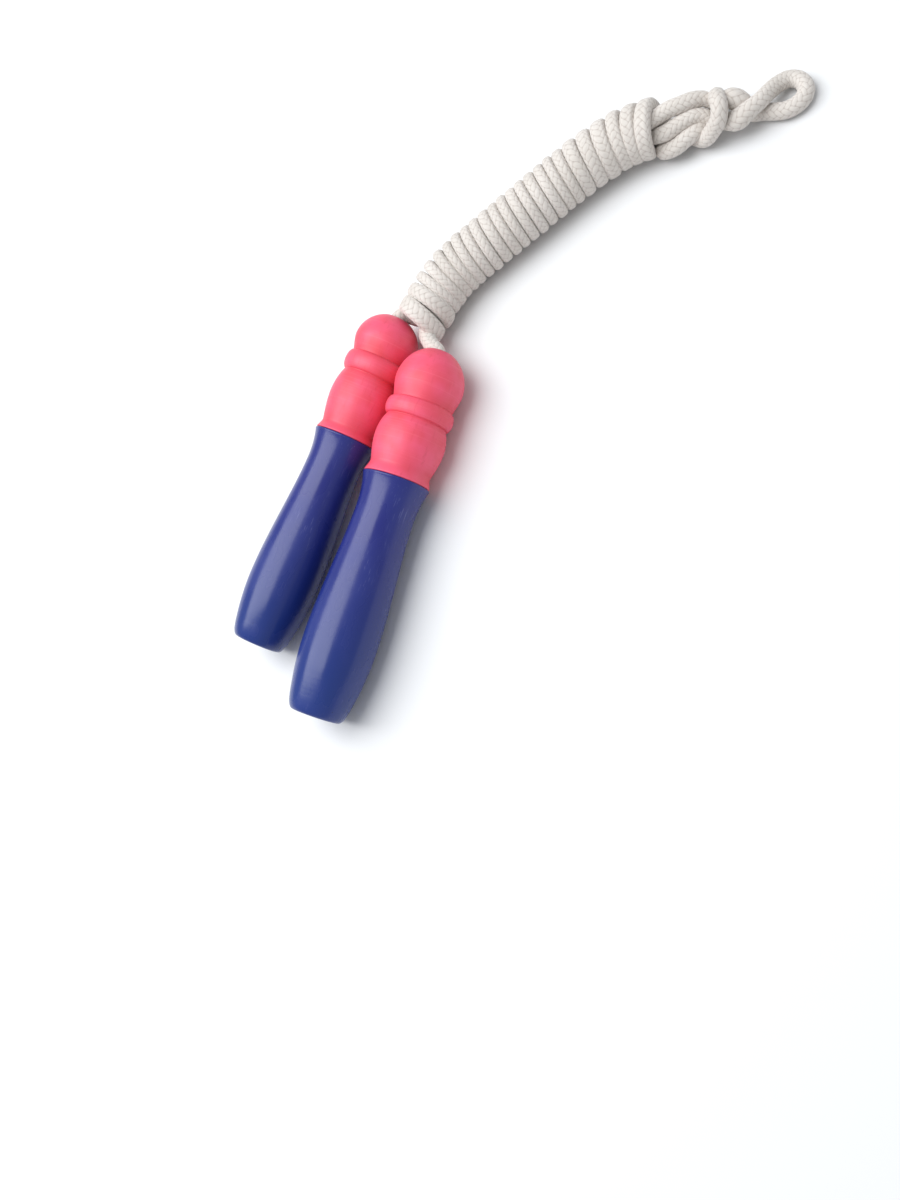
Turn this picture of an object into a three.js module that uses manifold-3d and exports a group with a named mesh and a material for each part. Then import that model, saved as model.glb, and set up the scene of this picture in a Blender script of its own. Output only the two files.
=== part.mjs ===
// A skipping rope at rest: two turned wooden handles side by side and one cotton rope, wound on
// itself into a curved hank that ends in a small loop. Millimetres, +Z up, lying on the plane z = 0.
// The origin is on that plane, under the middle of the two handles. The right handle lies along Y.
import * as THREE from 'three';
import { mergeVertices } from 'three/addons/utils/BufferGeometryUtils.js';
import Module from 'manifold-3d';

const wasm = await Module();
wasm.setup();

// ---- driving dimensions -------------------------------------------------------------------
const GAP = 0.3; // between touching pieces
const ROUND_SEGMENTS = 24; // facets round a turned piece
const CURVE_STEPS = 4; // facets along each curve of a turned outline, and twice that on an arc
const SAME_POINT = 0.01;

const ROPE_DIAMETER = 5.8;
const ROPE_SIDES = 10;
const ROPE_RADIUS = ROPE_DIAMETER / 2;

// Lengths run along the handle from its ball end, one after the other. Girth scales every radius.
// The two handles are turned by hand, so they differ a little.
const RIGHT = {
  name: 'right', exit: [16.56, 65.45], yaw: 0, girth: 1,
  ball: 21.6, bead: 6.5, bulb: 18.0, flange: 4.3, grip: 89.6,
};
const LEFT = {
  name: 'left', exit: [-7.22, 75.09], yaw: THREE.MathUtils.degToRad(5.16), girth: 0.95,
  ball: 17.9, bead: 7.3, bulb: 20.8, flange: 3.5, grip: 83.5,
};

// Radii of the larger handle
const BALL_RADIUS = 12.75;
const GROOVE_RADIUS = 11.2;
const BEAD_HEIGHT = 1.6;
const BULB_RADIUS = 13.1;
const NECK_RADIUS = 11.35;
const FLANGE_RADIUS = 12.4;
const RIM_RADIUS = 12.6;
const WAIST_RADIUS = 10.85;
const GRIP_RADIUS = 13.5;
const END_RADIUS = 8.6; // flat end face

// Inside of a handle, the same in both
const BORE_RADIUS = 3.4;
const MOUTH_RADIUS = 4.9;
const MOUTH_DEPTH = 2.6;
const BORE_LENGTH = 24;
const CHAMBER_RADIUS = 5.8;
const SPIGOT_RADIUS = 7.8;
const SPIGOT_LENGTH = 14;
const WASHER = { radius: 5.4, hole: 3.25, thickness: 1.2 };
const STOP_KNOT = { radius: 5.1, length: 11 };

// The hank's winding, and the line that its middle follows on the table
const WINDING_RADIUS = 10.4;
const WINDING_LINE = [
  [2.9, 81.2], [4.6, 88.5], [9.0, 97.8], [19.2, 110.8], [30.1, 124.0],
  [40.8, 137.0], [51.9, 148.6], [60.2, 155.0], [68.2, 158.9],
];

// The head of the hank, where the folded strands come out of the winding, and its neck
const HEAD = { start: [69.6, 159.4], angle: THREE.MathUtils.degToRad(20.7), length: 25, radius: 9.1 };
const NECK = { length: 8.4, radius: 5.6 };

// Routes of the free rope, from the handle outwards
const RIGHT_STRAND = [[16.2, 66.0, 13.4], [13.2, 67.4, 12.9], [9.6, 69.6, 12.2], [7.2, 73.0, 11.5]];
const RIGHT_PIVOT = [6.2, 77.2, 10.8];
const LEFT_STRAND = [[-7.12, 76.0, 12.6]];
const LEFT_PIVOT = [-6.6, 78.1, 11.6];
const LOOP_LINE = [
  [102.6, 168.6, 3.1], [107.0, 169.6, 3.0], [110.8, 171.2, 3.0], [113.8, 173.8, 3.0],
  [115.2, 177.2, 3.0], [114.4, 180.6, 3.0], [111.2, 182.8, 3.0], [107.4, 182.4, 3.0],
  [103.8, 179.2, 3.1], [100.8, 175.0, 3.1],
];

// ---- materials ----------------------------------------------------------------------------
const redPaint = new THREE.MeshStandardMaterial({ color: 0xf0566f, roughness: 0.42, metalness: 0 });
const bluePaint = new THREE.MeshStandardMaterial({ color: 0x2b3272, roughness: 0.25, metalness: 0 });
const steel = new THREE.MeshStandardMaterial({ color: 0xb9bcc0, roughness: 0.35, metalness: 1 });
const cotton = new THREE.MeshStandardMaterial({ color: 0xded6d0, roughness: 0.95, metalness: 0 });

// ---- helpers ------------------------------------------------------------------------------
const vectors = (points) => points.map(([x, y, z]) => new THREE.Vector3(x, y, z));

const onTable = (points, z) => vectors(points.map(([x, y]) => [x, y, z]));

function named(name, geometry, material) {
  const mesh = new THREE.Mesh(geometry, material);
  mesh.name = name;
  return mesh;
}

// Turns an outline of (radius, distance along the axis) round the axis. Where two curves of the
// outline meet, only one of their equal points is kept.
function turned(outline) {
  const points = outline.getPoints(CURVE_STEPS).filter(
    (point, i, all) => i === 0 || point.distanceTo(all[i - 1]) > SAME_POINT);
  return new THREE.LatheGeometry(points, ROUND_SEGMENTS);
}

// A round bar along a smooth line.
function bar(line, radius, sides, steps) {
  const section = new THREE.Shape().absarc(0, 0, radius, 0, 2 * Math.PI);
  const extrudePath = new THREE.CatmullRomCurve3(line);
  return new THREE.ExtrudeGeometry(section, { curveSegments: sides / 2, steps, extrudePath });
}

function toSolid(geometry) {
  const bare = geometry.index ? geometry.clone() : geometry;
  bare.deleteAttribute('normal');
  bare.deleteAttribute('uv');
  const merged = mergeVertices(bare, 1e-3);
  return new wasm.Manifold(new wasm.Mesh({
    numProp: 3,
    vertProperties: new Float32Array(merged.attributes.position.array),
    triVerts: new Uint32Array(merged.index.array),
  }));
}

function toGeometry(solid) {
  const mesh = solid.getMesh();
  const geometry = new THREE.BufferGeometry();
  geometry.setAttribute('position', new THREE.BufferAttribute(mesh.vertProperties, 3));
  geometry.setIndex(new THREE.BufferAttribute(mesh.triVerts, 1));
  geometry.computeVertexNormals();
  return geometry;
}

// ---- turned handles -----------------------------------------------------------------------
const headLength = (handle) => handle.ball + handle.bead + handle.bulb + handle.flange;

// The red head: ball, bead between two grooves, bulb, neck and flange, then a hollow spigot that
// the grip slides over. The rope's bore opens into the chamber that holds its stop knot.
function headGeometry(handle) {
  const g = handle.girth;
  const ballTop = handle.ball * 0.65;
  const mouth = Math.acos(MOUTH_RADIUS / (BALL_RADIUS * g));
  const mouthStart = ballTop * (1 - Math.sin(mouth));
  const beadStart = handle.ball;
  const bulbStart = beadStart + handle.bead;
  const bulbTop = bulbStart + handle.bulb * 0.44;
  const neck = bulbStart + handle.bulb;
  const end = headLength(handle);

  const outline = new THREE.Path();
  outline.moveTo(BORE_RADIUS, MOUTH_DEPTH);
  outline.lineTo(MOUTH_RADIUS, mouthStart);
  outline.absellipse(0, ballTop, BALL_RADIUS * g, ballTop, -mouth, 0, false, 0);
  outline.bezierCurveTo(
    12.6 * g, handle.ball * 0.79, 11.4 * g, handle.ball * 0.91, GROOVE_RADIUS * g, beadStart);
  outline.absellipse(
    GROOVE_RADIUS * g, beadStart + handle.bead / 2, BEAD_HEIGHT * g, handle.bead / 2,
    -Math.PI / 2, Math.PI / 2, false, 0);
  outline.bezierCurveTo(
    12.3 * g, bulbStart + handle.bulb * 0.11, BULB_RADIUS * g, bulbStart + handle.bulb * 0.27,
    BULB_RADIUS * g, bulbTop);
  outline.bezierCurveTo(
    BULB_RADIUS * g, bulbTop + handle.bulb * 0.22, 11.9 * g, neck - handle.bulb * 0.12,
    NECK_RADIUS * g, neck);
  outline.bezierCurveTo(
    NECK_RADIUS * g, neck + handle.flange * 0.3, 12.0 * g, neck + handle.flange * 0.6,
    FLANGE_RADIUS * g, end - 0.4);
  outline.lineTo(FLANGE_RADIUS * g, end);
  outline.lineTo(SPIGOT_RADIUS, end);
  outline.lineTo(SPIGOT_RADIUS, end + SPIGOT_LENGTH);
  outline.lineTo(CHAMBER_RADIUS, end + SPIGOT_LENGTH);
  outline.lineTo(CHAMBER_RADIUS, BORE_LENGTH);
  outline.lineTo(BORE_RADIUS, BORE_LENGTH);
  outline.lineTo(BORE_RADIUS, MOUTH_DEPTH);
  return turned(outline);
}

// The blue grip: a rim against the flange, a slim waist, a full belly and a flat end with a round
// edge. Its socket takes the head's spigot.
function gripGeometry(handle) {
  const g = handle.girth;
  const start = headLength(handle) + GAP;
  const end = headLength(handle) + handle.grip;
  const along = (share) => start + (end - start) * share;
  const socketEnd = headLength(handle) + SPIGOT_LENGTH + GAP;
  const socketRadius = SPIGOT_RADIUS + GAP;

  const outline = new THREE.Path();
  outline.moveTo(0, socketEnd);
  outline.lineTo(socketRadius, socketEnd);
  outline.lineTo(socketRadius, start);
  outline.lineTo(RIM_RADIUS * g - 0.3, start);
  outline.lineTo(RIM_RADIUS * g, start + 0.3);
  outline.bezierCurveTo(
    11.9 * g, along(0.025), WAIST_RADIUS * g, along(0.08), WAIST_RADIUS * g, along(0.136));
  outline.bezierCurveTo(
    WAIST_RADIUS * g, along(0.31), GRIP_RADIUS * g, along(0.49), GRIP_RADIUS * g, along(0.7));
  outline.bezierCurveTo(
    GRIP_RADIUS * g, along(0.805), 12.1 * g, along(0.893), 11.4 * g, along(0.938));
  outline.bezierCurveTo(
    10.7 * g, along(0.977), 9.9 * g, end, END_RADIUS * g, end);
  outline.lineTo(0, end);
  return turned(outline);
}

// The washer that the stop knot pulls against, a flat ring.
function washerGeometry() {
  const near = BORE_LENGTH + GAP;
  const far = near + WASHER.thickness;
  const outline = new THREE.Path();
  outline.moveTo(WASHER.hole, near);
  outline.lineTo(WASHER.radius, near);
  outline.lineTo(WASHER.radius, far);
  outline.lineTo(WASHER.hole, far);
  outline.lineTo(WASHER.hole, near);
  return turned(outline);
}

const knotStart = BORE_LENGTH + 2 * GAP + WASHER.thickness;

// The knot in the rope's end, as its outer shape.
function stopKnotGeometry() {
  const outline = new THREE.Path();
  outline.absellipse(
    0, knotStart + STOP_KNOT.length / 2, STOP_KNOT.radius, STOP_KNOT.length / 2,
    -Math.PI / 2, Math.PI / 2, false, 0);
  return turned(outline);
}

// The handle's own frame: its length runs along +Y from the ball end.
function handleFrame(handle) {
  const frame = new THREE.Group();
  frame.position.set(...handle.exit, GRIP_RADIUS * handle.girth);
  frame.rotation.z = Math.PI - handle.yaw;
  frame.updateMatrixWorld();
  return frame;
}

function buildHandle(handle) {
  const frame = handleFrame(handle);
  frame.add(named(`${handle.name}_head`, headGeometry(handle), redPaint));
  frame.add(named(`${handle.name}_grip`, gripGeometry(handle), bluePaint));
  frame.add(named(`${handle.name}_washer`, washerGeometry(), steel));
  frame.add(named(`${handle.name}_stop_knot`, stopKnotGeometry(), cotton));
  return frame;
}

// ---- rope ---------------------------------------------------------------------------------
// One end of the rope: from the stop knot through the bore to the winding, where a round end lets
// it bend sideways.
function buildEndStrand(handle, outside, pivot) {
  const frame = handleFrame(handle);
  const inside = [knotStart - GAP, BORE_LENGTH / 2, 1].map(
    (distance) => frame.localToWorld(new THREE.Vector3(0, distance, 0)));
  const line = [...inside, ...vectors([...outside, pivot])];
  const strand = toSolid(bar(line, ROPE_RADIUS, ROPE_SIDES, 24));
  const roundEnd = new THREE.SphereGeometry(ROPE_RADIUS, 14, 10).translate(...pivot);
  return named(`${handle.name}_rope_end`, toGeometry(strand.add(toSolid(roundEnd))), cotton);
}

function buildWinding() {
  const line = onTable(WINDING_LINE, WINDING_RADIUS);
  return named('rope_winding', bar(line, WINDING_RADIUS, 20, 14), cotton);
}

// Places an outline that runs along +Y on the hank's own line, a distance past the winding.
function onHeadLine(mesh, distance, height) {
  const [x, y] = HEAD.start;
  mesh.position.set(
    x + distance * Math.cos(HEAD.angle), y + distance * Math.sin(HEAD.angle), height);
  mesh.rotation.z = HEAD.angle - Math.PI / 2;
  return mesh;
}

function buildHead() {
  const outline = new THREE.Path();
  outline.moveTo(0, 0);
  outline.lineTo(7.6, 0);
  outline.bezierCurveTo(
    HEAD.radius, 3, HEAD.radius, HEAD.length * 0.3, HEAD.radius, HEAD.length * 0.45);
  outline.bezierCurveTo(
    HEAD.radius, HEAD.length * 0.8, 7.5, HEAD.length, 5.2, HEAD.length);
  outline.lineTo(0, HEAD.length);
  return onHeadLine(named('rope_head', turned(outline), cotton), 0, HEAD.radius + 0.1);
}

function buildNeck() {
  const outline = new THREE.Path();
  outline.moveTo(0, 0);
  outline.lineTo(4.6, 0);
  outline.bezierCurveTo(NECK.radius, 1, NECK.radius, NECK.length - 1, 4.6, NECK.length);
  outline.lineTo(0, NECK.length);
  return onHeadLine(
    named('rope_neck', turned(outline), cotton), HEAD.length + GAP, NECK.radius + 0.2);
}

function buildLoop() {
  return named('rope_loop', bar(vectors(LOOP_LINE), ROPE_RADIUS, ROPE_SIDES, 24), cotton);
}

// ---- the whole part -----------------------------------------------------------------------
const group = new THREE.Group();
group.add(buildHandle(RIGHT));
group.add(buildHandle(LEFT));
group.add(buildEndStrand(RIGHT, RIGHT_STRAND, RIGHT_PIVOT));
group.add(buildEndStrand(LEFT, LEFT_STRAND, LEFT_PIVOT));
group.add(buildWinding());
group.add(buildHead());
group.add(buildNeck());
group.add(buildLoop());

export default group;
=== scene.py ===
"""Looks of a skipping rope at rest: two turned and painted wooden handles, and one braided cotton rope
wound on itself into a hank with a small end loop. Metres, +Z up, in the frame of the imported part."""

import math

import bpy
import numpy as np
from mathutils import Matrix, Vector


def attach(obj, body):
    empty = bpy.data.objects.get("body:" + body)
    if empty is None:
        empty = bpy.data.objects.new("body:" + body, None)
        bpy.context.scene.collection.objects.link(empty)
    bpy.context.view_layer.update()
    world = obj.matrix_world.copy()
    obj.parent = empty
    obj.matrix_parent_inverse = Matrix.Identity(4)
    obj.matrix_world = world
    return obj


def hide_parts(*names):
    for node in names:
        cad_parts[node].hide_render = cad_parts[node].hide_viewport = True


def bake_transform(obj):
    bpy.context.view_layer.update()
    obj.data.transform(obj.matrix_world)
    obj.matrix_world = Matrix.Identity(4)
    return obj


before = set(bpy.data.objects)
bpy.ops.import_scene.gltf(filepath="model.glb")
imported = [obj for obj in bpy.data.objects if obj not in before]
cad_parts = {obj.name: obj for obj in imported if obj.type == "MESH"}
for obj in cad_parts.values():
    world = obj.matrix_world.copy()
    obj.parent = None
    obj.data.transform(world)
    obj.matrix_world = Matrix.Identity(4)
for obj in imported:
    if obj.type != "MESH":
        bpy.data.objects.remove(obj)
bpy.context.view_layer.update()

# ---- driving dimensions ---------------------------------------------------------------------
GAP = 0.0003
ROPE_DIAMETER = 0.0058
ROPE_RADIUS = ROPE_DIAMETER / 2

# The handles as the part has them. Lengths run from the ball end, and girth scales the outer radii.
RIGHT = {
    "name": "right", "exit": (0.01656, 0.06545), "yaw": 0.0, "girth": 1.0,
    "ball": 0.0216, "bead": 0.0065, "bulb": 0.0180, "flange": 0.0043, "grip": 0.0896,
}
LEFT = {
    "name": "left", "exit": (-0.00722, 0.07509), "yaw": math.radians(5.16), "girth": 0.95,
    "ball": 0.0179, "bead": 0.0073, "bulb": 0.0208, "flange": 0.0035, "grip": 0.0835,
}
BALL_RADIUS = 0.01275
GROOVE_RADIUS = 0.0112
BEAD_HEIGHT = 0.0016
BULB_RADIUS = 0.0131
NECK_RADIUS = 0.01135
FLANGE_RADIUS = 0.0124
RIM_RADIUS = 0.0126
WAIST_RADIUS = 0.01085
GRIP_RADIUS = 0.0135
END_RADIUS = 0.0086
BORE_RADIUS = 0.0034
MOUTH_RADIUS = 0.0049
MOUTH_DEPTH = 0.0026
BORE_LENGTH = 0.024
CHAMBER_RADIUS = 0.0058
SPIGOT_RADIUS = 0.0078
SPIGOT_LENGTH = 0.014
KNOT_START = BORE_LENGTH + 2 * GAP + 0.0012
KNOT_LENGTH = 0.011
KNOT_RADIUS = 0.0051
KNOT_STRAND_RADIUS = 0.0019  # pulled tight, so thinner than the free rope

# The line that the winding's middle follows, as (x, y) from the handles to the head of the hank
WINDING_LINE = [
    (0.0008, 0.0741), (0.0029, 0.0812), (0.0046, 0.0885), (0.0090, 0.0978), (0.0192, 0.1108),
    (0.0301, 0.1240), (0.0408, 0.1370), (0.0519, 0.1486), (0.0602, 0.1550), (0.0693, 0.1589),
]
WINDING_HEIGHT = 0.0104
TURNS = 24
WIDE_TURNS = 6  # at the head of the hank
WIDE_PITCH = 0.0055
LAST_PITCH = 0.0074
TURN_RADIUS = 0.00775  # of the rope's own middle, round the winding's
TURN_UNEVENNESS = 0.0001
TURN_HALF_HEIGHT = 0.0024
TURN_FILL = 0.99  # of the pitch, which leaves a thin dark line between turns
TURN_SQUARENESS = 2.8
POINTS_PER_TURN = 16
CORE_RADIUS = 0.0030  # of the straight runs inside the winding, round its middle
CORE_STRAND_RADIUS = 0.0026
CORE_START = 0.008
CORE_END_GAP = 0.004
BIGHT_DEPTH = 0.003
BIGHT_STRAND_RADIUS = 0.0023

# The free strands of the head, as (along, left, up) from its start
HEAD_START = (0.0696, 0.1594)
HEAD_ANGLE = math.radians(20.7)
OUT_AND_BACK = [
    (0.0046, 0.0026, 0.0139), (0.0088, 0.0034, 0.0136), (0.0127, 0.0046, 0.0126),
    (0.0160, 0.0052, 0.0109), (0.0190, 0.0043, 0.0090), (0.0226, 0.0033, 0.0094),
    (0.0257, 0.0025, 0.0104), (0.0279, 0.0016, 0.0092), (0.0295, 0.0002, 0.0062),
    (0.0313, -0.0004, 0.0038), (0.0346, -0.0008, 0.0031), (0.0387, -0.0020, 0.0031),
    (0.0427, -0.0025, 0.0031), (0.0463, -0.0013, 0.0031), (0.0486, 0.0010, 0.0031),
    (0.0491, 0.0041, 0.0031), (0.0472, 0.0075, 0.0031), (0.0438, 0.0087, 0.0034),
    (0.0403, 0.0070, 0.0046), (0.0374, 0.0037, 0.0066), (0.0348, -0.0002, 0.0087),
    (0.0322, -0.0024, 0.0095), (0.0296, -0.0038, 0.0092), (0.0270, -0.0045, 0.0081),
    (0.0241, -0.0038, 0.0072), (0.0214, -0.0026, 0.0064), (0.0181, -0.0012, 0.0064),
    (0.0153, 0.0002, 0.0082), (0.0124, 0.0003, 0.0096), (0.0093, -0.0009, 0.0102),
    (0.0061, -0.0023, 0.0104), (0.0026, -0.0036, 0.0102),
]
ROUND_THE_HEAD = [
    (-0.0014, 0.0014, 0.0076), (0.0018, 0.0014, 0.0062), (0.0050, 0.0010, 0.0048),
    (0.0084, -0.0010, 0.0037), (0.0116, -0.0040, 0.0033), (0.0148, -0.0061, 0.0047),
    (0.0190, -0.0060, 0.0090), (0.0216, -0.0050, 0.0125), (0.0224, -0.0026, 0.0145),
    (0.0219, 0.0010, 0.0140), (0.0211, 0.0040, 0.0118), (0.0203, 0.0055, 0.0081),
    (0.0192, 0.0051, 0.0045), (0.0173, 0.0028, 0.0032), (0.0151, -0.0004, 0.0038),
    (0.0125, -0.0038, 0.0069), (0.0090, -0.0060, 0.0076), (0.0056, -0.0076, 0.0070),
    (0.0025, -0.0078, 0.0061), (0.0001, -0.0068, 0.0051),
]
HEAD_MIDDLE = (-0.0005, 0.0085)  # (left, up) of the middle of the head's strands
BAND_ALONG = 0.0199  # where one strand goes round the others and presses them thinner
BAND_REACH = 0.0045
BAND_PRESS = 0.2
LOOSE_ALONG = 0.0268  # where two strands turn back, and are fuller
LOOSE_REACH = 0.0038
LOOSE_GAIN = 0.27

# The last turn ends under the winding, tucked back inside it
TUCKED_END = [(0.0040, 0.0764, 0.0040), (0.0034, 0.0800, 0.0058)]

# The rope's two ends, from inside the winding to the handle
RIGHT_STRAND = [
    (0.0047, 0.0845, 0.0134), (0.0052, 0.0808, 0.0124), (0.0056, 0.0768, 0.0110),
    (0.0057, 0.0733, 0.0112), (0.0070, 0.0705, 0.0117), (0.0094, 0.0682, 0.0123),
    (0.0121, 0.0664, 0.0128), (0.0150, 0.0646, 0.0133),
]
LEFT_STRAND = [
    (0.0034, 0.0800, 0.0058), (0.0004, 0.0786, 0.0062), (-0.0024, 0.0776, 0.0079),
    (-0.0050, 0.0772, 0.0105), (-0.0067, 0.0762, 0.0121),
]

# The braid: sixteen strands, eight each way, each over two and under two
STRANDS_EACH_WAY = 8
BRAID_PITCH = 0.0021  # along the rope, from one strand to the next
BRAID_RELIEF = 0.0002
BRAID_CROWN = 1.9  # 2 would round a strand off right at its edges, and less leaves them standing
BRAID_REACH = 0.86  # 1 would take a strand's ends all the way down
BRAID_DIP = 0.6  # below 1, a strand stays high for longer and then dips more sharply

# How finely the meshes are drawn
FINE_STEP = 0.00045  # along the rope, where it is seen
HIDDEN_STEP = 0.0012
ROPE_SIDES = 48
TURNED_SIDES = 128


# ---- curves ---------------------------------------------------------------------------------
def smooth_line(rows, samples=12):
    """A smooth line through the rows. The first three columns are the place, and set the spacing."""
    p = np.asarray(rows, float)
    p = np.vstack([2 * p[0] - p[1], p, 2 * p[-1] - p[-2]])
    made = []
    for p0, p1, p2, p3 in zip(p[:-3], p[1:-2], p[2:-1], p[3:]):
        t0 = 0.0
        t1 = t0 + math.sqrt(np.linalg.norm((p1 - p0)[:3]))
        t2 = t1 + math.sqrt(np.linalg.norm((p2 - p1)[:3]))
        t3 = t2 + math.sqrt(np.linalg.norm((p3 - p2)[:3]))
        t = np.linspace(t1, t2, samples, endpoint=False)[:, None]
        a = p0 + (p1 - p0) * (t - t0) / (t1 - t0)
        b = p1 + (p2 - p1) * (t - t1) / (t2 - t1)
        c = p2 + (p3 - p2) * (t - t2) / (t3 - t2)
        ab = a + (b - a) * (t - t0) / (t2 - t0)
        bc = b + (c - b) * (t - t1) / (t3 - t1)
        made.append(ab + (bc - ab) * (t - t1) / (t2 - t1))
    return np.vstack([*made, p[-2:-1]])


def along(line):
    """The distance along a line to each of its points."""
    return np.concatenate([[0.0], np.cumsum(np.linalg.norm(np.diff(line[:, :3], axis=0), axis=1))])


def unit(v):
    return v / np.maximum(np.linalg.norm(v, axis=-1, keepdims=True), 1e-12)


def arc(centre, radii, start, end, steps=24):
    a = np.linspace(start, end, steps)
    return np.stack([centre[0] + radii[0] * np.cos(a), centre[1] + radii[1] * np.sin(a)], axis=1)


def bezier(p0, p1, p2, p3, steps=20):
    t = np.linspace(0, 1, steps)[:, None]
    p0, p1, p2, p3 = (np.array(p, float) for p in (p0, p1, p2, p3))
    return (1 - t) ** 3 * p0 + 3 * (1 - t) ** 2 * t * p1 + 3 * (1 - t) * t * t * p2 + t ** 3 * p3


# ---- meshes ---------------------------------------------------------------------------------
def mesh_object(name, vertices, faces, smooth=True):
    mesh = bpy.data.meshes.new(name)
    mesh.from_pydata(np.asarray(vertices).tolist(), [], faces)
    mesh.polygons.foreach_set("use_smooth", [smooth] * len(mesh.polygons))
    mesh.update()
    made = bpy.data.objects.new(name, mesh)
    bpy.context.scene.collection.objects.link(made)
    return made


def row(place, normal, width=ROPE_RADIUS, height=ROPE_RADIUS, power=2.0, step=FINE_STEP):
    """One point of a rope's route: its place, the way its section faces, and the section's shape."""
    return [*place, *normal, width, height, power, step]


def rings(rows):
    """The rope's rings, spaced as their step says."""
    dense = smooth_line(rows)
    pace = np.diff(along(dense)) / ((dense[1:, 9] + dense[:-1, 9]) / 2)
    count = np.concatenate([[0.0], np.cumsum(pace)])
    at = np.linspace(0, count[-1], int(count[-1]) + 2)
    return np.stack([np.interp(at, count, dense[:, k]) for k in range(dense.shape[1])], axis=1)


def untwisted_angle(tangent, normal, binormal):
    """The angle, in each ring, of a direction that is carried along the rope without twist."""
    carried = normal[0]
    angles = np.zeros(len(tangent))
    for i, t in enumerate(tangent):
        carried = carried - (carried @ t) * t
        carried = carried / np.linalg.norm(carried)
        angles[i] = math.atan2(carried @ binormal[i], carried @ normal[i])
    return np.unwrap(angles)


def braid_height(u, v):
    """The height of the braid's surface, from 0 in a crevice to 1 on a strand. u counts strands round
    the rope, and v along it."""
    one, other = u + v, u - v
    i, j = np.round(one), np.round(other)
    place = np.mod(i + j, 4)
    first = place < 2
    across = np.where(first, one - i, other - j)
    late = np.where(np.mod(place, 2) < 1, 0.5, -0.5)
    run = np.where(first, other - j, one - i) - late
    over = np.sqrt(np.clip(1 - (BRAID_CROWN * across) ** 2, 0, 1))
    return over * np.clip(np.cos(BRAID_REACH * np.pi / 2 * run), 0, 1) ** BRAID_DIP


def braided_rope(name, rows):
    """A tube along the rows with a braided surface, and the places of its rings."""
    r = rings(rows)
    centre = r[:, :3]
    tangent = unit(np.gradient(centre, axis=0))
    normal = unit(r[:, 3:6] - (r[:, 3:6] * tangent).sum(1, keepdims=True) * tangent)
    binormal = np.cross(tangent, normal)
    turn = untwisted_angle(tangent, normal, binormal)
    angle = np.linspace(0, 2 * np.pi, ROPE_SIDES, endpoint=False)
    c, s = np.cos(angle)[None], np.sin(angle)[None]
    power = 2 / r[:, 8:9]
    high = r[:, 7:8] * np.sign(c) * np.abs(c) ** power
    wide = r[:, 6:7] * np.sign(s) * np.abs(s) ** power
    distance = along(centre)
    u = STRANDS_EACH_WAY * (angle[None] - turn[:, None]) / (2 * np.pi)
    v = np.repeat(distance[:, None] / BRAID_PITCH, ROPE_SIDES, axis=1)
    lift = BRAID_RELIEF * (braid_height(u, v) - 0.6)
    size = np.hypot(high, wide)
    high, wide = high * (1 + lift / size), wide * (1 + lift / size)
    points = centre[:, None] + high[..., None] * normal[:, None] + wide[..., None] * binormal[:, None]

    n, m = len(r), ROPE_SIDES
    i, j = np.meshgrid(np.arange(n - 1), np.arange(m), indexing="ij")
    k = (j + 1) % m
    quads = np.stack([i * m + j, i * m + k, (i + 1) * m + k, (i + 1) * m + j], axis=-1).reshape(-1, 4)
    caps = [list(range(m - 1, -1, -1)), list(range((n - 1) * m, n * m))]
    made = mesh_object(name, points.reshape(-1, 3), quads.tolist() + caps)
    one = STRANDS_EACH_WAY / m
    uv = np.zeros((len(quads), 4, 2))
    for corner, (di, dj) in enumerate(((0, 0), (0, 1), (1, 1), (1, 0))):
        uv[:, corner, 0] = (u[i + di, j] + dj * one).reshape(-1)
        uv[:, corner, 1] = v[i + di, j].reshape(-1)
    cap_uv = np.concatenate([np.stack([u[e], v[e]], axis=1) for e in (0, -1)])
    layer = made.data.uv_layers.new(name="Braid")
    layer.data.foreach_set("uv", np.concatenate([uv.reshape(-1, 2), cap_uv]).astype(np.float32).ravel())
    return made, centre.tolist()


def turned(name, outline, sides=TURNED_SIDES):
    """An outline of (radius, distance along) turned round the local Y axis into a closed shell."""
    keep = [0] + [i for i in range(1, len(outline)) if np.abs(outline[i] - outline[i - 1]).max() > 1e-7]
    outline = outline[keep]
    closed = np.abs(outline[0] - outline[-1]).max() < 1e-7
    if closed:
        outline = outline[:-1]
    vertices, index = [], []
    for radius, y in outline:
        if radius < 1e-7:
            index.append([len(vertices)] * sides)
            vertices.append((0.0, y, 0.0))
        else:
            index.append(list(range(len(vertices), len(vertices) + sides)))
            a = np.linspace(0, 2 * np.pi, sides, endpoint=False)
            vertices += [(radius * math.sin(x), y, radius * math.cos(x)) for x in a]
    faces = []
    pairs = list(zip(index, index[1:] + index[:1])) if closed else list(zip(index, index[1:]))
    for low, high in pairs:
        for k in range(sides):
            corners = [low[k], low[(k + 1) % sides], high[(k + 1) % sides], high[k]]
            faces.append(list(dict.fromkeys(corners)))
    return mesh_object(name, vertices, faces)


# ---- handles --------------------------------------------------------------------------------
def head_length(handle):
    return handle["ball"] + handle["bead"] + handle["bulb"] + handle["flange"]


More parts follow.
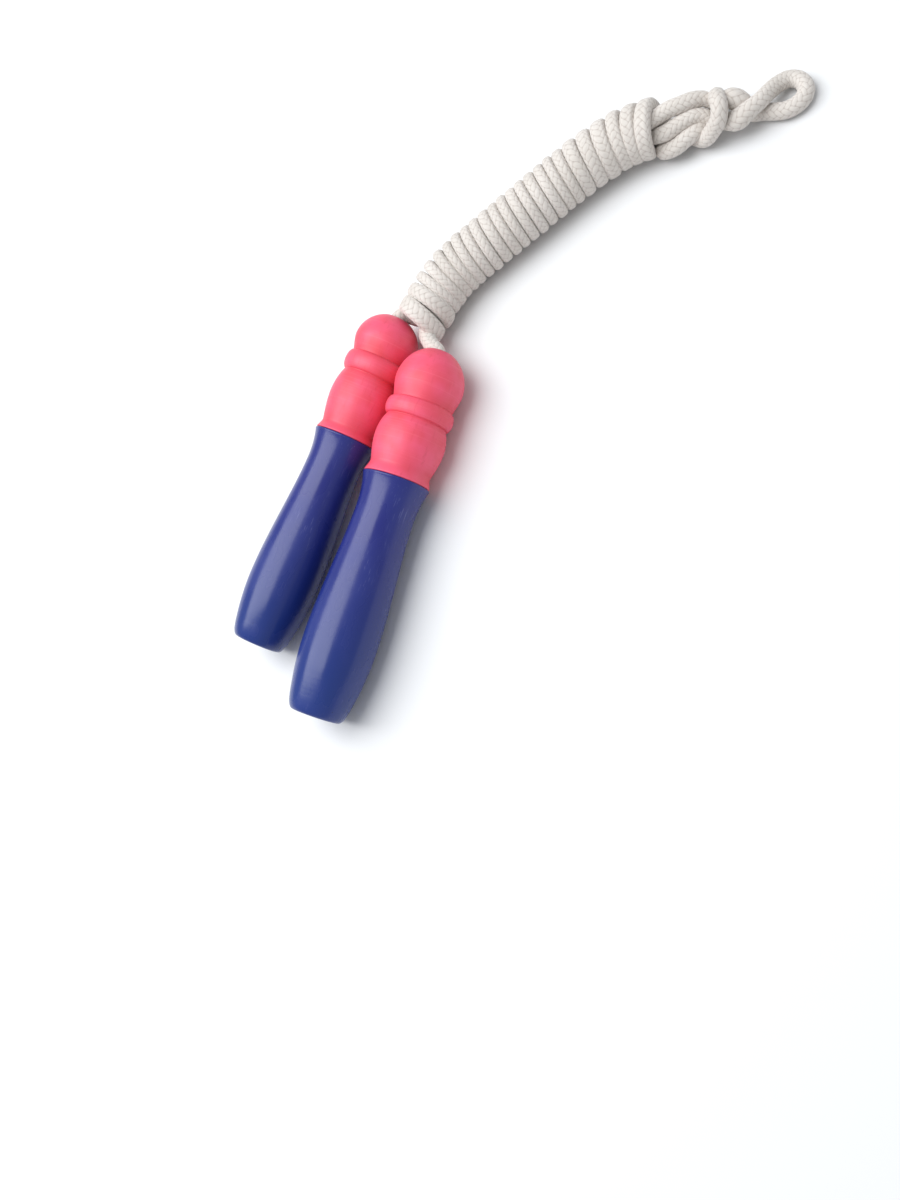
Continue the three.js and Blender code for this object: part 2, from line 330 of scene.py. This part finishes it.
def head_outline(handle):
    """Ball, bead between two grooves, bulb, neck and flange, then the hollow spigot and the bore."""
    g = handle["girth"]
    ball, bead, bulb, flange = (handle[k] for k in ("ball", "bead", "bulb", "flange"))
    top = ball * 0.65
    mouth = math.acos(MOUTH_RADIUS / (BALL_RADIUS * g))
    bulb_start = ball + bead
    bulb_top = bulb_start + bulb * 0.44
    neck = bulb_start + bulb
    end = head_length(handle)
    return np.vstack([
        [(BORE_RADIUS, MOUTH_DEPTH)],
        arc((0, top), (BALL_RADIUS * g, top), -mouth, 0, 40),
        bezier((BALL_RADIUS * g, top), (0.0126 * g, ball * 0.79), (0.0114 * g, ball * 0.91),
               (GROOVE_RADIUS * g, ball)),
        arc((GROOVE_RADIUS * g, ball + bead / 2), (BEAD_HEIGHT * g, bead / 2), -math.pi / 2, math.pi / 2),
        bezier((GROOVE_RADIUS * g, bulb_start), (0.0123 * g, bulb_start + bulb * 0.11),
               (BULB_RADIUS * g, bulb_start + bulb * 0.27), (BULB_RADIUS * g, bulb_top)),
        bezier((BULB_RADIUS * g, bulb_top), (BULB_RADIUS * g, bulb_top + bulb * 0.22),
               (0.0119 * g, neck - bulb * 0.12), (NECK_RADIUS * g, neck)),
        bezier((NECK_RADIUS * g, neck), (NECK_RADIUS * g, neck + flange * 0.3),
               (0.0120 * g, neck + flange * 0.6), (FLANGE_RADIUS * g, end - 0.0004)),
        arc((FLANGE_RADIUS * g - 0.0004, end - 0.0004), (0.0004, 0.0004), 0, math.pi / 2, 6),
        [(SPIGOT_RADIUS, end), (SPIGOT_RADIUS, end + SPIGOT_LENGTH),
         (CHAMBER_RADIUS, end + SPIGOT_LENGTH), (CHAMBER_RADIUS, BORE_LENGTH),
         (BORE_RADIUS, BORE_LENGTH), (BORE_RADIUS, MOUTH_DEPTH)],
    ])


def grip_outline(handle):
    """A rim against the flange, a slim waist, a full belly and a flat end, with the spigot's socket."""
    g = handle["girth"]
    start = head_length(handle) + GAP / 3
    end = head_length(handle) + handle["grip"]
    socket_end = head_length(handle) + SPIGOT_LENGTH + GAP
    socket = SPIGOT_RADIUS + GAP

    def at(share):
        return start + (end - start) * share

    return np.vstack([
        [(0, socket_end), (socket, socket_end), (socket, start)],
        arc((RIM_RADIUS * g - 0.0005, start + 0.0005), (0.0005, 0.0005), -math.pi / 2, 0, 6),
        bezier((RIM_RADIUS * g, start + 0.0005), (0.0119 * g, at(0.025)),
               (WAIST_RADIUS * g, at(0.08)), (WAIST_RADIUS * g, at(0.136))),
        bezier((WAIST_RADIUS * g, at(0.136)), (WAIST_RADIUS * g, at(0.31)),
               (GRIP_RADIUS * g, at(0.49)), (GRIP_RADIUS * g, at(0.7)), 40),
        bezier((GRIP_RADIUS * g, at(0.7)), (GRIP_RADIUS * g, at(0.805)),
               (0.0121 * g, at(0.893)), (0.0114 * g, at(0.938))),
        bezier((0.0114 * g, at(0.938)), (0.0107 * g, at(0.977)), (0.0099 * g, end),
               (END_RADIUS * g, end)),
        [(0, end)],
    ])


def handle_frame(handle):
    """The handle's own frame: its length runs along local +Y from the ball end."""
    place = Vector((*handle["exit"], GRIP_RADIUS * handle["girth"]))
    return Matrix.Translation(place) @ Matrix.Rotation(math.pi - handle["yaw"], 4, "Z")


def build_handle(handle, red, blue):
    """A head and a grip, each turned as one closed shell."""
    name = handle["name"]
    for part, outline, paint, slot in (
        ("head", head_outline(handle), red, "red_paint"),
        ("grip", grip_outline(handle), blue, "blue_paint"),
    ):
        piece = turned(f"{name}_painted_{part}", outline)
        piece.data.materials.append(paint)
        piece.matrix_world = handle_frame(handle)
        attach(piece, f"{name}_handle")
        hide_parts(f"{name}_{part}")


def dress_washers(steel):
    for name in ("right_washer", "left_washer"):
        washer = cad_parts[name]
        washer.data.materials.clear()
        washer.data.materials.append(steel)


# ---- rope -----------------------------------------------------------------------------------
def winding_axis():
    """(places, directions, distances) along the winding's middle, from the handles to the head."""
    line = smooth_line([(x, y, WINDING_HEIGHT) for x, y in WINDING_LINE])
    return line, unit(np.gradient(line, axis=0)), along(line)


AXIS_LINE, AXIS_DIRECTION, AXIS_DISTANCE = winding_axis()
AXIS_LENGTH = AXIS_DISTANCE[-1]


def on_axis(distance):
    """The winding's middle at a distance from the handles, and the direction to its right."""
    place = np.array([np.interp(distance, AXIS_DISTANCE, AXIS_LINE[:, k]) for k in range(3)])
    x, y = (np.interp(distance, AXIS_DISTANCE, AXIS_DIRECTION[:, k]) for k in range(2))
    return place, unit(np.array([y, -x, 0.0]))


def turn_pitches():
    """Counts of turns from the head of the hank, with the pitch and the distance along the winding's
    middle at each."""
    narrow = TURNS - WIDE_TURNS - 1
    rest = (AXIS_LENGTH - WIDE_TURNS * WIDE_PITCH - LAST_PITCH) / narrow
    k = np.arange(TURNS)
    base = np.array([WIDE_PITCH] * WIDE_TURNS + [rest] * narrow + [LAST_PITCH])
    base[-2] = (base[-3] + base[-1]) / 2
    uneven = base * (1 + 0.06 * np.sin(2.3 * k + 0.8) + 0.04 * np.sin(5.1 * k))
    turn = np.linspace(0, TURNS, 20 * TURNS + 1)
    pitch = np.interp(turn, k + 0.5, uneven)
    passed = np.concatenate([[0.0], np.cumsum((pitch[1:] + pitch[:-1]) / 2 * np.diff(turn))])
    scale = AXIS_LENGTH / passed[-1]
    return turn, pitch * scale, AXIS_LENGTH - passed * scale


def winding_rows():
    """The turns, from under the head of the hank, over the top from left to right, to the handles."""
    turns, pitches, distances = turn_pitches()
    made = []
    for k in range(-1, TURNS * POINTS_PER_TURN - 2):  # whole turns start and end straight below
        turn = k / POINTS_PER_TURN
        angle = 2 * math.pi * (turn - 0.5)
        distance = float(np.interp(turn, turns, distances))
        width = TURN_FILL * float(np.interp(turn, turns, pitches)) / 2
        middle, right = on_axis(distance)
        outward = math.cos(angle) * np.array([0, 0, 1.0]) + math.sin(angle) * right
        radius = TURN_RADIUS + TURN_UNEVENNESS * math.sin(3.7 * turn)
        made.append(row(middle + radius * outward, outward, width, TURN_HALF_HEIGHT, TURN_SQUARENESS))
    return made


def core_rows(angle, outward_bound):
    """A straight run inside the winding, at an angle round its middle, from its right side upwards."""
    distances = np.linspace(CORE_START, AXIS_LENGTH - CORE_END_GAP, 14)
    made = []
    for distance in distances if outward_bound else distances[::-1]:
        middle, right = on_axis(distance)
        aside = math.cos(angle) * right + math.sin(angle) * np.array([0, 0, 1.0])
        made.append(row(middle + CORE_RADIUS * aside, aside, CORE_STRAND_RADIUS, CORE_STRAND_RADIUS,
                        step=HIDDEN_STEP))
    return made


def on_head(points):
    """Places of points that are given as (along, left, up) from the head's start."""
    c, s = math.cos(HEAD_ANGLE), math.sin(HEAD_ANGLE)
    x, y = HEAD_START
    return [(x + d * c - left * s, y + d * s + left * c, up) for d, left, up in points]


def head_rows(points, is_band):
    """Free strands of the head. The band's sections face away from the head's middle, and the ones
    that it presses face up."""
    c, s = math.cos(HEAD_ANGLE), math.sin(HEAD_ANGLE)
    made = []
    for place, (d, left, up) in zip(on_head(points), points):
        if is_band:
            aside, above = left - HEAD_MIDDLE[0], up - HEAD_MIDDLE[1]
            made.append(row(place, unit(np.array([-s * aside, c * aside, above]))))
        else:
            press = BAND_PRESS * math.exp(-((d - BAND_ALONG) / BAND_REACH) ** 2)
            gain = LOOSE_GAIN * math.exp(-((d - LOOSE_ALONG) / LOOSE_REACH) ** 2)
            radius = ROPE_RADIUS * (1 - press + gain)
            made.append(row(place, (0.0, 0.0, 1.0), radius, radius))
    return made


def bight_rows():
    """The fold at the handle end, between two of the straight runs."""
    made = []
    for angle in np.radians([30, 60, 90, 120, 150]):
        middle, right = on_axis(CORE_START - BIGHT_DEPTH * math.sin(angle))
        aside = CORE_RADIUS * math.cos(math.radians(30)) * math.cos(angle) * right
        place = middle + aside - CORE_RADIUS / 2 * np.array([0, 0, 1.0])
        made.append(row(place, (0.0, 0.0, -1.0), BIGHT_STRAND_RADIUS, BIGHT_STRAND_RADIUS,
                        step=HIDDEN_STEP / 2))
    return made


def hank_rows():
    """The whole rope but for its two ends."""
    top, low_right, low_left = math.radians(90), math.radians(-30), math.radians(210)
    return [
        *core_rows(top, True),
        *head_rows(OUT_AND_BACK, False),
        *core_rows(low_right, False),
        *bight_rows(),
        *core_rows(low_left, True),
        *head_rows(ROUND_THE_HEAD, True),
        *winding_rows(),
        *[row(p, (0.0, 0.0, -1.0)) for p in TUCKED_END],
    ]


def inside_handle(handle):
    """Points along the handle's bore, from its mouth to the stop knot."""
    place = handle_frame(handle)
    return [tuple(place @ Vector((0, y, 0))) for y in (0.004, BORE_LENGTH / 2, KNOT_START - GAP)]


def end_rows(handle, outside):
    return [row(p, (0.0, 0.0, 1.0)) for p in [*outside, *inside_handle(handle)]]


def stop_knot(handle, material):
    """The knot in the rope's end, packed into the handle's chamber."""
    ring = KNOT_RADIUS - KNOT_STRAND_RADIUS
    t = np.linspace(0, 2 * np.pi, 60, endpoint=False)
    middle = KNOT_START + KNOT_LENGTH / 2
    x = ring * (np.sin(t) + 2 * np.sin(2 * t)) / 3
    z = ring * (np.cos(t) - 2 * np.cos(2 * t)) / 3
    y = middle - (KNOT_LENGTH / 2 - KNOT_STRAND_RADIUS) * np.sin(3 * t)
    line = np.stack([x, y, z], axis=1)
    rows = [row(p, (0.3, 1.0, 0.2), KNOT_STRAND_RADIUS, KNOT_STRAND_RADIUS) for p in line]
    made, _ = braided_rope(f"{handle['name']}_stop_knot_tied", rows)
    made.data.materials.append(material)
    made.matrix_world = handle_frame(handle)
    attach(made, f"{handle['name']}_end")
    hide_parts(f"{handle['name']}_stop_knot")
    return made


def build_end(handle, outside, material):
    """One end of the rope, from the given points through its handle's bore, with its stop knot."""
    name = handle["name"]
    piece, path = braided_rope(f"{name}_rope_end_braided", end_rows(handle, outside))
    piece.data.materials.append(material)
    knot = stop_knot(handle, material)
    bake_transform(piece)
    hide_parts(f"{name}_rope_end")
    return piece


def build_hank(material):
    """All of the rope but its two ends, as one piece."""
    piece, path = braided_rope("rope", hank_rows())
    piece.data.materials.append(material)
    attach(piece, "hank")
    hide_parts("rope_winding", "rope_head", "rope_neck", "rope_loop")
    return piece


# ---- materials ------------------------------------------------------------------------------
class Graph:
    """A material's node tree, with a short call for each kind of node."""

    def __init__(self, name):
        self.material = bpy.data.materials.new(name)
        self.material.use_nodes = True
        self.tree = self.material.node_tree
        self.tree.nodes.clear()
        self.shader = self.add("ShaderNodeBsdfPrincipled")
        out = self.add("ShaderNodeOutputMaterial")
        self.tree.links.new(self.shader.outputs["BSDF"], out.inputs["Surface"])

    def add(self, kind, **settings):
        node = self.tree.nodes.new(kind)
        for key, value in settings.items():
            setattr(node, key, value)
        return node

    def plug(self, value, socket):
        if isinstance(value, bpy.types.NodeSocket):
            self.tree.links.new(value, socket)
        else:
            socket.default_value = value

    def set(self, **values):
        """Sets the shader's sockets: words in a socket's name are joined by _."""
        for key, value in values.items():
            self.plug(value, self.shader.inputs[key.replace("_", " ")])

    def math(self, operation, *values):
        node = self.add("ShaderNodeMath", operation=operation)
        for value, socket in zip(values, node.inputs):
            self.plug(value, socket)
        return node.outputs[0]

    def ramp(self, value, low, high, start=0.0, end=1.0):
        """value from low..high to start..end, clamped."""
        node = self.add("ShaderNodeMapRange")
        for socket, number in zip(node.inputs, (value, low, high, start, end)):
            self.plug(number, socket)
        return node.outputs["Result"]

    def mix(self, share, first, second):
        node = self.add("ShaderNodeMix", data_type="RGBA")
        self.plug(share, node.inputs["Factor"])
        self.plug(first, node.inputs["A"])
        self.plug(second, node.inputs["B"])
        return node.outputs["Result"]

    def parts(self, vector):
        """The X, Y and Z of a vector."""
        node = self.add("ShaderNodeSeparateXYZ")
        self.plug(vector, node.inputs[0])
        return [node.outputs[k] for k in range(3)]

    def stretch(self, vector, scale):
        node = self.add("ShaderNodeMapping")
        self.plug(vector, node.inputs["Vector"])
        self.plug(scale, node.inputs["Scale"])
        return node.outputs["Vector"]

    def noise(self, vector, scale=1.0, detail=3.0, roughness=0.5):
        node = self.add("ShaderNodeTexNoise")
        for key, value in (("Vector", vector), ("Scale", scale), ("Detail", detail),
                           ("Roughness", roughness)):
            self.plug(value, node.inputs[key])
        return node.outputs["Fac"]

    def bump(self, height, distance, strength=1.0, normal=None):
        node = self.add("ShaderNodeBump")
        self.plug(height, node.inputs["Height"])
        self.plug(distance, node.inputs["Distance"])
        self.plug(strength, node.inputs["Strength"])
        if normal is not None:
            self.plug(normal, node.inputs["Normal"])
        return node.outputs["Normal"]


def srgb(r, g, b):
    """A colour given in 0-255, as Blender's linear values."""
    return (*[((c / 255 + 0.055) / 1.055) ** 2.4 if c > 10 else c / 255 / 12.92 for c in (r, g, b)], 1.0)


def coral_paint():
    """Satin coral paint on turned wood: faint lathe rings, and painted shade that darkens the grooves and
    the neck to a deeper red.
    """
    g = Graph("coral_paint")
    place = g.add("ShaderNodeTexCoord").outputs["Object"]
    x, y, z = g.parts(place)
    radius = g.math("SQRT", g.math("ADD", g.math("MULTIPLY", x, x), g.math("MULTIPLY", z, z)))
    # painted shade: a mask for the grooves and the neck, where the radius is small past the ball
    grooves = g.math("MULTIPLY", g.ramp(radius, 0.0108, 0.0123, 0.5, 0.0), g.ramp(y, 0.012, 0.017))
    rings_of_lathe = g.noise(g.stretch(place, (30, 2600, 30)), 1.0, 2.0)
    grain = g.noise(g.stretch(place, (900, 110, 900)), 1.0, 3.0, 0.6)
    patches = g.noise(place, 110.0, 2.0)
    coat = g.mix(g.ramp(patches, 0.35, 0.7), srgb(240, 90, 120), srgb(230, 78, 96))
    coat = g.mix(g.ramp(rings_of_lathe, 0.55, 0.75, 0, 0.25), coat, srgb(250, 120, 140))
    coat = g.mix(g.ramp(grain, 0.58, 0.75, 0, 0.35), coat, srgb(206, 62, 78))
    # painted shade: the grooves and the neck mixed towards a deeper red
    coat = g.mix(grooves, coat, srgb(212, 60, 70))
    g.set(Base_Color=coat, Roughness=g.ramp(patches, 0.3, 0.75, 0.42, 0.54), IOR=1.5)
    g.set(Coat_Weight=0.08, Coat_Roughness=0.3, Specular_IOR_Level=0.4)
    fine = g.bump(rings_of_lathe, 0.00006, 0.5)
    g.set(Normal=g.bump(grain, 0.00004, 0.4, fine))
    return g.material


def navy_enamel():
    """Glossy navy enamel on turned wood, with a painted greenish reflection that grows towards the end,
    and scratches, specks and worn spots.
    """
    g = Graph("navy_enamel")
    place = g.add("ShaderNodeTexCoord").outputs["Object"]
    rings_of_lathe = g.noise(g.stretch(place, (20, 1500, 20)), 1.0, 2.0)
    patches = g.noise(g.stretch(place, (90, 45, 90)), 1.0, 3.0)
    long_scratches = g.noise(g.stretch(place, (2600, 90, 2600)), 1.0, 2.0, 0.6)
    specks = g.noise(place, 900.0, 1.0)
    worn = g.math("MULTIPLY", g.ramp(long_scratches, 0.62, 0.76), g.ramp(patches, 0.45, 0.65))
    # painted reflection: the coat turns greener along the handle towards its end
    coat = g.mix(g.ramp(g.parts(place)[1], 0.075, 0.135), srgb(33, 40, 116), srgb(28, 52, 119))
    coat = g.mix(g.ramp(patches, 0.4, 0.7, 0, 0.4), coat, srgb(50, 60, 132))
    coat = g.mix(g.math("MULTIPLY", worn, 0.5), coat, srgb(120, 125, 175))
    coat = g.mix(g.ramp(specks, 0.78, 0.82, 0, 0.6), coat, srgb(20, 22, 60))
    g.set(Base_Color=coat, IOR=1.5)
    g.set(Roughness=g.math("ADD", g.ramp(patches, 0.3, 0.7, 0.2, 0.36), g.math("MULTIPLY", worn, 0.2)))
    g.set(Coat_Weight=0.12, Coat_Roughness=0.15, Specular_IOR_Level=0.38)
    g.set(Normal=g.bump(rings_of_lathe, 0.00008, 0.4, g.bump(patches, 0.0003, 0.3)))
    return g.material


def steel_ring():
    """Plain brushed steel."""
    g = Graph("washer_steel")
    place = g.add("ShaderNodeTexCoord").outputs["Object"]
    brushed = g.noise(g.stretch(place, (400, 6000, 400)), 1.0, 2.0)
    g.set(Base_Color=g.mix(brushed, srgb(150, 152, 156), srgb(196, 198, 202)), Metallic=1.0)
    g.set(Roughness=g.ramp(brushed, 0.3, 0.7, 0.25, 0.4))
    return g.material


def braided_cotton():
    """Natural cotton braid: yarns run along each strand, and painted shade darkens the crevices between
    strands.
    """
    g = Graph("braided_cotton")
    u, v, _ = g.parts(g.add("ShaderNodeUVMap", uv_map="Braid").outputs["UV"])
    one, other = g.math("ADD", u, v), g.math("SUBTRACT", u, v)
    i, j = g.math("ROUND", one), g.math("ROUND", other)
    place = g.math("FLOORED_MODULO", g.math("ADD", i, j), 4.0)
    second = g.math("GREATER_THAN", place, 1.5)
    from_one, from_other = g.math("SUBTRACT", one, i), g.math("SUBTRACT", other, j)

    def choose(first_value, second_value):
        change = g.math("MULTIPLY", second, g.math("SUBTRACT", second_value, first_value))
        return g.math("ADD", first_value, change)

    across = choose(from_one, from_other)
    late = g.math("SUBTRACT", 0.5, g.math("FLOORED_MODULO", place, 2.0))
    run = g.math("SUBTRACT", choose(from_other, from_one), late)
    outward = g.math("ABSOLUTE", g.math("MULTIPLY", across, BRAID_CROWN))
    bulge = g.math("SUBTRACT", 1.0, g.math("POWER", outward, 2.0))
    over = g.math("SQRT", g.math("MAXIMUM", bulge, 0.0))
    ends = g.math("MAXIMUM", g.math("COSINE", g.math("MULTIPLY", run, BRAID_REACH * math.pi / 2)), 0.0)
    height = g.math("MULTIPLY", over, g.math("POWER", ends, BRAID_DIP))

    yarn_place = g.add("ShaderNodeCombineXYZ")
    g.plug(g.math("MULTIPLY", across, 9.0), yarn_place.inputs["X"])
    g.plug(g.math("MULTIPLY", run, 1.3), yarn_place.inputs["Y"])
    g.plug(g.math("ADD", g.math("MULTIPLY", i, 7.3), g.math("MULTIPLY", j, 3.1)), yarn_place.inputs["Z"])
    yarn = g.noise(yarn_place.outputs[0], 1.0, 3.0, 0.6)

    rest = g.add("ShaderNodeTexCoord").outputs["Object"]
    tone = g.noise(rest, 90.0, 3.0)
    fuzz = g.noise(rest, 3200.0, 2.0, 0.7)
    cotton = g.mix(g.ramp(tone, 0.3, 0.7), srgb(224, 218, 211), srgb(212, 206, 198))
    cotton = g.mix(g.ramp(yarn, 0.35, 0.65, 0.0, 0.35), cotton, srgb(196, 184, 176))
    # painted shade: the low places of the braid's relief mixed towards a dark grey-brown
    cotton = g.mix(g.ramp(height, 0.05, 0.6, 0.75, 0.0), cotton, srgb(150, 134, 124))
    g.set(Base_Color=cotton, Roughness=0.95, Specular_IOR_Level=0.2)
    g.set(Sheen_Weight=0.35, Sheen_Roughness=0.5)
    relief = g.bump(height, 0.00012, 0.6)
    yarns = g.bump(yarn, 0.00012, 0.7, relief)
    g.set(Normal=g.bump(fuzz, 0.00008, 0.6, yarns))
    return g.material


# ---- camera, light and floor ----------------------------------------------------------------
CAMERA_TARGET = Vector((0.0529, -0.0206, 0.0120))
CAMERA_DISTANCE = 0.4154
CAMERA_LEAN = math.radians(30)  # from straight above
CAMERA_SIDE = math.radians(-6.44)  # the way it leans, from +X
CAMERA_ROLL = math.radians(-65.55)


def build_camera():
    data = bpy.data.cameras.new("camera")
    data.lens, data.sensor_width, data.sensor_fit = 36.0, 36.0, "AUTO"
    data.clip_start, data.clip_end = 0.01, 20.0
    camera = bpy.data.objects.new("camera", data)
    bpy.context.scene.collection.objects.link(camera)
    flat = math.sin(CAMERA_LEAN)
    back = Vector((flat * math.cos(CAMERA_SIDE), flat * math.sin(CAMERA_SIDE), math.cos(CAMERA_LEAN)))
    level = Vector((0, 0, 1)).cross(back).normalized()
    upright = back.cross(level)
    right = math.cos(CAMERA_ROLL) * level + math.sin(CAMERA_ROLL) * upright
    up = back.cross(right)
    turn = Matrix((right, up, back)).transposed().to_4x4()
    camera.matrix_world = Matrix.Translation(CAMERA_TARGET + CAMERA_DISTANCE * back) @ turn
    bpy.context.scene.camera = camera


def area_light(name, place, target, size, energy, colour=(1, 1, 1)):
    data = bpy.data.lights.new(name, "AREA")
    data.shape = "RECTANGLE"
    data.size, data.size_y = size
    data.energy = energy
    data.color = colour
    light = bpy.data.objects.new(name, data)
    bpy.context.scene.collection.objects.link(light)
    light.location = place
    light.rotation_euler = (Vector(target) - Vector(place)).to_track_quat("-Z", "Y").to_euler()


def build_light():
    world = bpy.data.worlds.new("studio")
    world.use_nodes = True
    world.node_tree.nodes["Background"].inputs["Color"].default_value = (0.93, 0.96, 1.0, 1.0)
    world.node_tree.nodes["Background"].inputs["Strength"].default_value = 0.5
    bpy.context.scene.world = world
    area_light("softbox", (-0.33, 0.02, 0.92), (0.03, 0.04, 0), (0.8, 1.2), 13.5, (0.96, 0.98, 1.0))
    bpy.context.scene.view_settings.view_transform = "Standard"


def build_floor():
    half = 3.0
    floor = mesh_object("floor", [(-half, -half, 0), (half, -half, 0), (half, half, 0), (-half, half, 0)],
                        [[0, 1, 2, 3]], smooth=False)
    g = Graph("pale_floor")
    g.set(Base_Color=(0.8, 0.8, 0.8, 1.0), Roughness=0.9)
    floor.data.materials.append(g.material)


# ---- the scene ------------------------------------------------------------------------------
build_camera()
cotton_material = braided_cotton()
build_hank(cotton_material)
build_end(RIGHT, RIGHT_STRAND, cotton_material)
build_end(LEFT, LEFT_STRAND, cotton_material)
coral, navy = coral_paint(), navy_enamel()
build_handle(RIGHT, coral, navy)
build_handle(LEFT, coral, navy)
dress_washers(steel_ring())
build_light()
build_floor()
